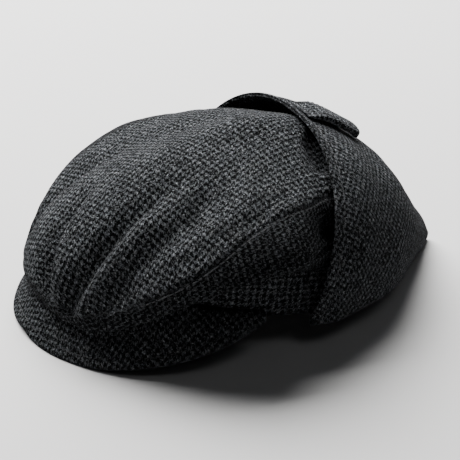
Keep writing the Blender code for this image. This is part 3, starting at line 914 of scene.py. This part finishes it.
def make_tab():
    """Double, stitched strap over the ridge with a round end that stands off."""
    half = TAB_WIDTH / 2
    rings, uvs = [], []
    run = 0.0
    before = None
    border = []
    for station in range(TAB_STATIONS + 1):
        share = sin(pi / 2 * station / TAB_STATIONS)
        y = TAB_START + (TAB_END - TAB_START) * share
        base, normal = ridge_frame(y)
        lift = TAB_LIFT * (share ** 2 - TAB_END_FALL * smooth_step(share, TAB_FALL_FROM, 1.0))
        base = base + normal * (SEAM_GAP + lift)
        run += (base - before).length if before else 0.0
        before = base.copy()
        past = max(0.0, (y - (TAB_END - half)) / half)
        width = half * sqrt(max(1 - past * past, TAB_BLUNTNESS))
        wall = TAB_WALL * (TAB_THIN_END
                           + TAB_THICKENING * smooth_step(share, 0.0, TAB_THICK_FROM))
        ring, ring_uv = [], []
        for i in range(2 * TAB_COLUMNS):
            around = pi * i / TAB_COLUMNS
            flat = copysign(abs(cos(around)) ** TAB_SIDE_POWER, cos(around))
            tall = copysign(abs(sin(around)) ** TAB_FACE_POWER, sin(around))
            x = width * flat
            rise = wall / 2 * (1 + tall)
            if tall > TAB_FACE_FROM:
                rise -= press(TAB_GROOVE, width - abs(x)) + abs(unevenness((x, y, 0), TAB_UNEVEN))
            rise -= TAB_DROOP * (x / half) ** 2 * share
            ring.append(tuple(base + Vector((x, 0.0, 0.0)) + normal * rise))
            ring_uv.append((x if tall > 0 else TAB_TURN_UNDER - x, run))
        rings.append(ring)
        uvs.append(ring_uv)
        if y < TAB_END - TAB_STITCH_STOP:
            inner = width - TAB_GROOVE.at
            rise = wall - STITCH_SUNK - TAB_DROOP * (inner / half) ** 2 * share
            border.append((base + normal * rise, normal, inner))
    points = [p for ring in rings for p in ring]
    faces = tube_faces(len(rings), len(rings[0]))
    piece = new_piece("tab_cloth", points, faces, [p for ring in uvs for p in ring],
                      [TAB_TWEED_PAINTED_LIGHT])
    right, left = ([(np.array(spot + Vector((sign * inner, 0, 0))), np.array(normal))
                    for spot, normal, inner in border] for sign in (1, -1))
    return piece, [right + left[::-1]]


# Laying the cap down

def resting_place():
    """Turn and height that bring the peak's low edges and the flap's corner to the floor."""
    peak = [peak_edges(i / REST_STEPS)[1] for i in range(REST_STEPS + 1)]
    corner = flap_hoop(1.0)[SHELF_STEPS]

    def height(point, pitch):
        return point.z * cos(pitch) - point.y * sin(pitch)

    pitch = halve(0.0, radians(STEEPEST_REST_DEG),
                  lambda turn: min(height(p, turn) for p in peak) < height(corner, turn))
    return Matrix.Rotation(-pitch, 3, "X"), height(corner, pitch) + SETTLE


def press_down(points):
    """Level points turned to the cap's resting pose, and pressed flat where they meet the floor."""
    turned = points @ np.array(TURN).T
    turned[:, 2] = np.maximum(turned[:, 2] - DROP, 0.0)
    return turned


def shift_to_frame():
    """Way across the floor that brings the band to the place of its solid."""
    edges = press_down(np.array([[0.0, sign * band_half_sizes(height, outside)[1], height]
                                 for height in (0.0, BAND_HEIGHT)
                                 for outside in (True, False)
                                 for sign in (1, -1)]))
    low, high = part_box("head_band")
    return np.array([(low.x + high.x) / 2,
                     (low.y + high.y) / 2 - (edges[:, 1].min() + edges[:, 1].max()) / 2, 0.0])


def lay_down(points):
    return press_down(points) + SHIFT


# Materials

def shade(tint, level):
    """A tint's red, green, blue and alpha at a level of brightness."""
    return tuple(value * level for value in tint) + (1,)


class Net:
    """Short calls for a material's nodes."""

    def __init__(self, name):
        self.material = bpy.data.materials.new(name)
        self.material.use_nodes = True
        self.tree = self.material.node_tree
        self.shader = self.tree.nodes["Principled BSDF"]

    def node(self, kind):
        return self.tree.nodes.new("ShaderNode" + kind)

    def link(self, source, target):
        """Link a node's output, or set a number or colour on the socket itself."""
        if isinstance(source, (int, float, tuple)):
            target.default_value = source
        else:
            self.tree.links.new(source, target)

    def math(self, operation, a, b=0.0, c=0.0):
        node = self.node("Math")
        node.operation = operation
        for source, target in zip((a, b, c), node.inputs):
            self.link(source, target)
        return node.outputs[0]

    def times(self, a, b, plus=0.0):
        return self.math("MULTIPLY_ADD", a, b, plus)

    def noise(self, vector, grain):
        node = self.node("TexNoise")
        node.inputs["Scale"].default_value = grain.scale
        node.inputs["Detail"].default_value = grain.detail
        node.inputs["Roughness"].default_value = grain.rough
        self.link(vector, node.inputs["Vector"])
        return node.outputs[0]

    def centred(self, vector, grain):
        """Noise that swings about zero."""
        return self.math("SUBTRACT", self.noise(vector, grain), 0.5)

    def mix(self, share, first, second):
        node = self.node("Mix")
        node.data_type = "RGBA"
        self.link(share, node.inputs[0])
        self.link(first, node.inputs[6])
        self.link(second, node.inputs[7])
        return node.outputs[2]

    def cloth_place(self):
        """The cloth's own coordinates across and along, and the place in space."""
        where = self.node("UVMap")
        where.uv_map = "cloth"
        split = self.node("SeparateXYZ")
        self.link(where.outputs[0], split.inputs[0])
        space = self.node("TexCoord")
        return split.outputs[0], split.outputs[1], space.outputs["Object"]

    def choose(self, share, first, second):
        """First where share is 1, second where it is 0."""
        other = self.times(self.math("SUBTRACT", 1.0, share), second)
        return self.times(share, first, other)

    def stripe(self, count, period):
        """1 through the first half of each period and 0 through the second."""
        return self.math("LESS_THAN", self.math("FLOORED_MODULO", count, period), period / 2)

    def steep(self, value, low, high):
        """Noise stretched so that low becomes 0 and high becomes 1."""
        node = self.node("MapRange")
        node.inputs["From Min"].default_value = low
        node.inputs["From Max"].default_value = high
        self.link(value, node.inputs["Value"])
        return node.outputs["Result"]

    def streak(self, yarn, along, shift):
        """Tone of one yarn, uneven along its length and different in each yarn."""
        place = self.node("CombineXYZ")
        self.link(self.times(yarn, YARN_TURN, shift), place.inputs[0])
        self.link(self.times(along, YARN_STRETCH), place.inputs[1])
        return self.noise(place.outputs[0], STREAK_GRAIN)

    def ridges(self, yarns):
        """Height of the cloth over round yarns that lie side by side."""
        return self.math("ABSOLUTE", self.math("SINE", self.times(yarns, pi)))

    def bump(self, height, distance, strength):
        node = self.node("Bump")
        node.inputs["Strength"].default_value = strength
        node.inputs["Distance"].default_value = distance
        self.link(height, node.inputs["Height"])
        self.link(node.outputs[0], self.shader.inputs["Normal"])


def tweed(name, yarn=YARN, dark=TWEED_DARK, strength=1.0):
    """Two-and-two twill of four dark and four light yarns each way: a very small check."""
    net = Net(name)
    across, along, space = net.cloth_place()
    fuzz = net.centred(space, FUZZ_GRAIN)
    counts = []
    for run, fuzz_jog, sway, jog in zip((across, along), (FUZZ_JOG, -FUZZ_JOG),
                                        SWAY_GRAINS, JOG_GRAINS):
        count = net.math("DIVIDE", run, yarn)
        count = net.times(net.centred(space, sway), SWAY, count)
        count = net.times(fuzz, fuzz_jog, count)
        counts.append(net.times(net.centred(space, jog), JOG, count))
    u, v = counts
    warp = net.math("FLOOR", u)
    weft = net.math("FLOOR", v)
    over = net.stripe(net.math("ADD", warp, weft), TWILL_YARNS)
    check = net.choose(over, net.stripe(warp, CHECK_YARNS), net.stripe(weft, CHECK_YARNS))
    grain = net.choose(over, net.streak(warp, v, 0.0), net.streak(weft, u, WEFT_SHIFT))
    cloud = net.noise(space, CLOUD_GRAIN)
    fleck = net.steep(net.noise(space, FLECK_GRAIN), *FLECK_RANGE)
    speck = net.steep(net.noise(space, SPECK_GRAIN), *SPECK_RANGE)
    glint = net.steep(net.noise(space, GLINT_GRAIN), *GLINT_RANGE)
    tone = net.times(net.math("POWER", grain, 2.0), STREAK_GAIN)
    for share, (gain, base) in ((cloud, CLOUD_TONE), (fleck, FLECK_TONE), (glint, GLINT_TONE)):
        tone = net.times(tone, net.times(share, gain, base))
    # strength is painted light and shade: it scales the whole cloth's tone darker or lighter for
    # each piece
    tone = net.times(tone, strength)
    check = net.math("MAXIMUM", net.times(check, CHECK_SHARE), net.times(speck, SPECK_SHARE))
    pale = net.mix(net.noise(space, PALE_GRAIN),
                   *(shade(tint, TWEED_LIGHT) for tint in PALE_TINTS))
    deep = net.mix(net.noise(space, DEEP_GRAIN), *(shade(tint, dark) for tint in DEEP_TINTS))
    scaled = net.node("VectorMath")
    scaled.operation = "SCALE"
    net.link(net.mix(check, deep, pale), scaled.inputs[0])
    net.link(tone, scaled.inputs["Scale"])
    net.link(scaled.outputs[0], net.shader.inputs["Base Color"])
    height = net.choose(over, net.ridges(u), net.ridges(v))
    height = net.times(fuzz, FUZZ_HEIGHT, height)
    height = net.times(cloud, CLOUD_HEIGHT, height)
    net.bump(height, distance=0.00034, strength=0.9)
    net.shader.inputs["Roughness"].default_value = 0.95
    net.shader.inputs["Specular IOR Level"].default_value = 0.02
    return net.material


def ribbed_cloth(name, tint, rib, roughness, sheen):
    """Plain lining or ribbon: fine ribs, a little uneven in tone."""
    net = Net(name)
    across, along, space = net.cloth_place()
    rows = net.math("SINE", net.times(along, 2 * pi / rib))
    cols = net.math("SINE", net.times(across, 2 * pi / rib))
    height = net.times(cols, 0.5, rows)
    net.link(net.mix(net.noise(space, LINING_GRAIN), shade(tint, 0.75), shade(tint, 1.3)),
             net.shader.inputs["Base Color"])
    net.bump(height, distance=0.00008, strength=0.7)
    net.shader.inputs["Roughness"].default_value = roughness
    net.shader.inputs["Sheen Weight"].default_value = sheen
    return net.material


def thread(name, tint):
    """Twisted sewing thread."""
    net = Net(name)
    across, along, _ = net.cloth_place()
    twist = net.math("SINE", net.math("ADD", net.times(across, THREAD_TWIST[0]),
                                      net.times(along, THREAD_TWIST[1])))
    net.link(net.mix(net.times(twist, 0.5, 0.5), shade(tint, 0.8),
                     shade(tint, 1.2)), net.shader.inputs["Base Color"])
    net.bump(twist, distance=0.00005, strength=0.6)
    net.shader.inputs["Roughness"].default_value = 0.7
    return net.material


def snap_metal(name):
    """Dark plated metal with fine scuffs."""
    net = Net(name)
    space = net.node("TexCoord").outputs["Object"]
    scuff = net.noise(space, SCUFF_GRAIN)
    net.link(net.mix(scuff, *SNAP_TINTS), net.shader.inputs["Base Color"])
    net.link(net.times(scuff, 0.3, 0.3), net.shader.inputs["Roughness"])
    net.bump(scuff, distance=0.00003, strength=0.5)
    net.shader.inputs["Metallic"].default_value = 1.0
    return net.material


TURN, DROP = resting_place()
SHIFT = shift_to_frame()

# Each piece gets a copy of one tweed at its own brightness, painted light and shade: the side
# panel, band and peak are darker than the crown, and the tab is lighter than the flap of the same
# yarn
CROWN_TWEED = tweed("crown_tweed_cloth", strength=0.70)
SIDE_TWEED_PAINTED_SHADE = tweed("side_tweed_painted_shade", strength=0.36)
BAND_TWEED_PAINTED_SHADE = tweed("band_tweed_painted_shade", strength=0.64)
PEAK_TWEED_PAINTED_SHADE = tweed("peak_tweed_painted_shade", strength=0.55)
FLAP_TWEED_PAINTED_SHADE = tweed("flap_tweed_painted_shade", FLAP_YARN, FLAP_DARK, strength=0.70)
# The tab's copy of the flap's cloth is brightened as painted light on its top
TAB_TWEED_PAINTED_LIGHT = tweed("tab_tweed_painted_light", FLAP_YARN, strength=0.97)
LINING = ribbed_cloth("lining_satin", LINING_TINT, rib=0.0005, roughness=0.45, sheen=0.1)
SWEATBAND = ribbed_cloth("sweatband_cotton", SWEATBAND_TINT, rib=0.0011, roughness=0.8, sheen=0.1)
THREAD = thread("grey_thread", THREAD_TINT)
DARK_THREAD = thread("dark_thread", DARK_THREAD_TINT)

crown, seam_lines = make_crown()
band, band_lines, sweat_lines = make_band()
peak, peak_lines, under_lines = make_peak()
flap, hem_lines = make_flap()
tab, tab_lines = make_tab()

DRESSED = (
    (crown, "crown", "crown_tweed"),
    (band, "head_band", "band_tweed"),
    (peak, "peak", "peak_tweed"),
    (flap, "neck_flap", "flap_tweed"),
    (tab, "flap_tab", "tab_tweed"),
)
for piece, node, slot in DRESSED:
    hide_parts(node)
    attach(piece, "root")

STITCHED = (
    ("crown_seam_stitches", seam_lines, DARK_THREAD, "crown_tweed"),
    ("band_stitches", band_lines, DARK_THREAD, "band_tweed"),
    ("sweatband_stitches", sweat_lines, DARK_THREAD, "band_tweed"),
    ("peak_stitches", peak_lines + under_lines, DARK_THREAD, "peak_tweed"),
    ("flap_hem_stitches", hem_lines, THREAD, "flap_tweed"),
    ("tab_stitches", tab_lines, DARK_THREAD, "tab_tweed"),
)
for name, lines, material, slot in STITCHED:
    piece = make_stitches(name, lines, material)
    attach(piece, "root")

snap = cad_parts["tab_snap"]
snap.data.materials.clear()
snap.data.materials.append(snap_metal("snap_plate"))

# Studio: pale floor, soft light and the photograph's angle
FLOOR_EXTENT = 6.0
FLOOR_BELOW = 0.0003
FLOOR_TINT = (0.48, 0.48, 0.48)
WORLD_LIGHT = 0.02
LIGHT_AIM = Vector((0, 0, 0.05))

# Lights: way to the picture's right, up and towards the camera, then side, watts and tint
Light = namedtuple("Light", "name aside up back size power tint")
LIGHTS = (
    Light("key", -0.5, 1.35, -1.25, 2.0, 285, (1.0, 0.99, 0.98)),
    Light("fill", 0.7, 1.7, 0.9, 0.6, 2.1, (0.97, 0.98, 1.0)),
)

mesh = bpy.data.meshes.new("floor")
mesh.from_pydata([(x * FLOOR_EXTENT, y * FLOOR_EXTENT, -FLOOR_BELOW)
                  for x, y in ((-1, -1), (1, -1), (1, 1), (-1, 1))], [], [(0, 1, 2, 3)])
floor = add_object("floor", mesh)
pale = Net("pale_floor")
pale.shader.inputs["Base Color"].default_value = shade(FLOOR_TINT, 1.0)
pale.shader.inputs["Roughness"].default_value = 0.9
mesh.materials.append(pale.material)

world = bpy.data.worlds.new("studio")
world.use_nodes = True
background = world.node_tree.nodes["Background"]
background.inputs[0].default_value = (1.0, 1.0, 1.0, 1)
background.inputs[1].default_value = WORLD_LIGHT
bpy.context.scene.world = world

AZIMUTH = radians(64.25)
ELEVATION = radians(27.8)
ROLL = radians(0.5)
VIEW_DISTANCE = 1.2
MM_PER_PIXEL = 0.643
CORNER_PIXEL = (427.75, 238.125)
IMAGE = 460
SENSOR = 36.0

back = Vector((sin(AZIMUTH) * cos(ELEVATION), -cos(AZIMUTH) * cos(ELEVATION),
               sin(ELEVATION)))
level = Vector((cos(AZIMUTH), sin(AZIMUTH), 0.0))
upright = back.cross(level)
right = level * cos(ROLL) + upright * sin(ROLL)
up = upright * cos(ROLL) - level * sin(ROLL)


def add_light(light, where):
    """Square area light aimed at the cap."""
    data = bpy.data.lights.new(light.name, "AREA")
    data.size = light.size
    data.energy = light.power
    data.color = light.tint
    lamp = add_object(light.name, data)
    lamp.location = where
    lamp.rotation_euler = (where - LIGHT_AIM).to_track_quat("Z", "Y").to_euler()


flat_back = Vector((back.x, back.y, 0.0)).normalized()
for light in LIGHTS:
    add_light(light, level * light.aside + Vector((0, 0, light.up)) + flat_back * light.back)

corner = Vector((0.0, CAD_BOX[1][1], 0.0))
scale = MM_PER_PIXEL / 1000
eye = (corner + back * VIEW_DISTANCE - right * (CORNER_PIXEL[0] - IMAGE / 2) * scale
       - up * (IMAGE / 2 - CORNER_PIXEL[1]) * scale)
lens = bpy.data.cameras.new("camera")
lens.sensor_width = SENSOR
lens.lens = SENSOR * VIEW_DISTANCE / scale / IMAGE
lens.clip_start = 0.05
camera = add_object("camera", lens)
camera.rotation_mode = "QUATERNION"
camera.rotation_quaternion = Matrix((right, up, back)).transposed().to_quaternion()
camera.location = eye
bpy.context.scene.camera = camera
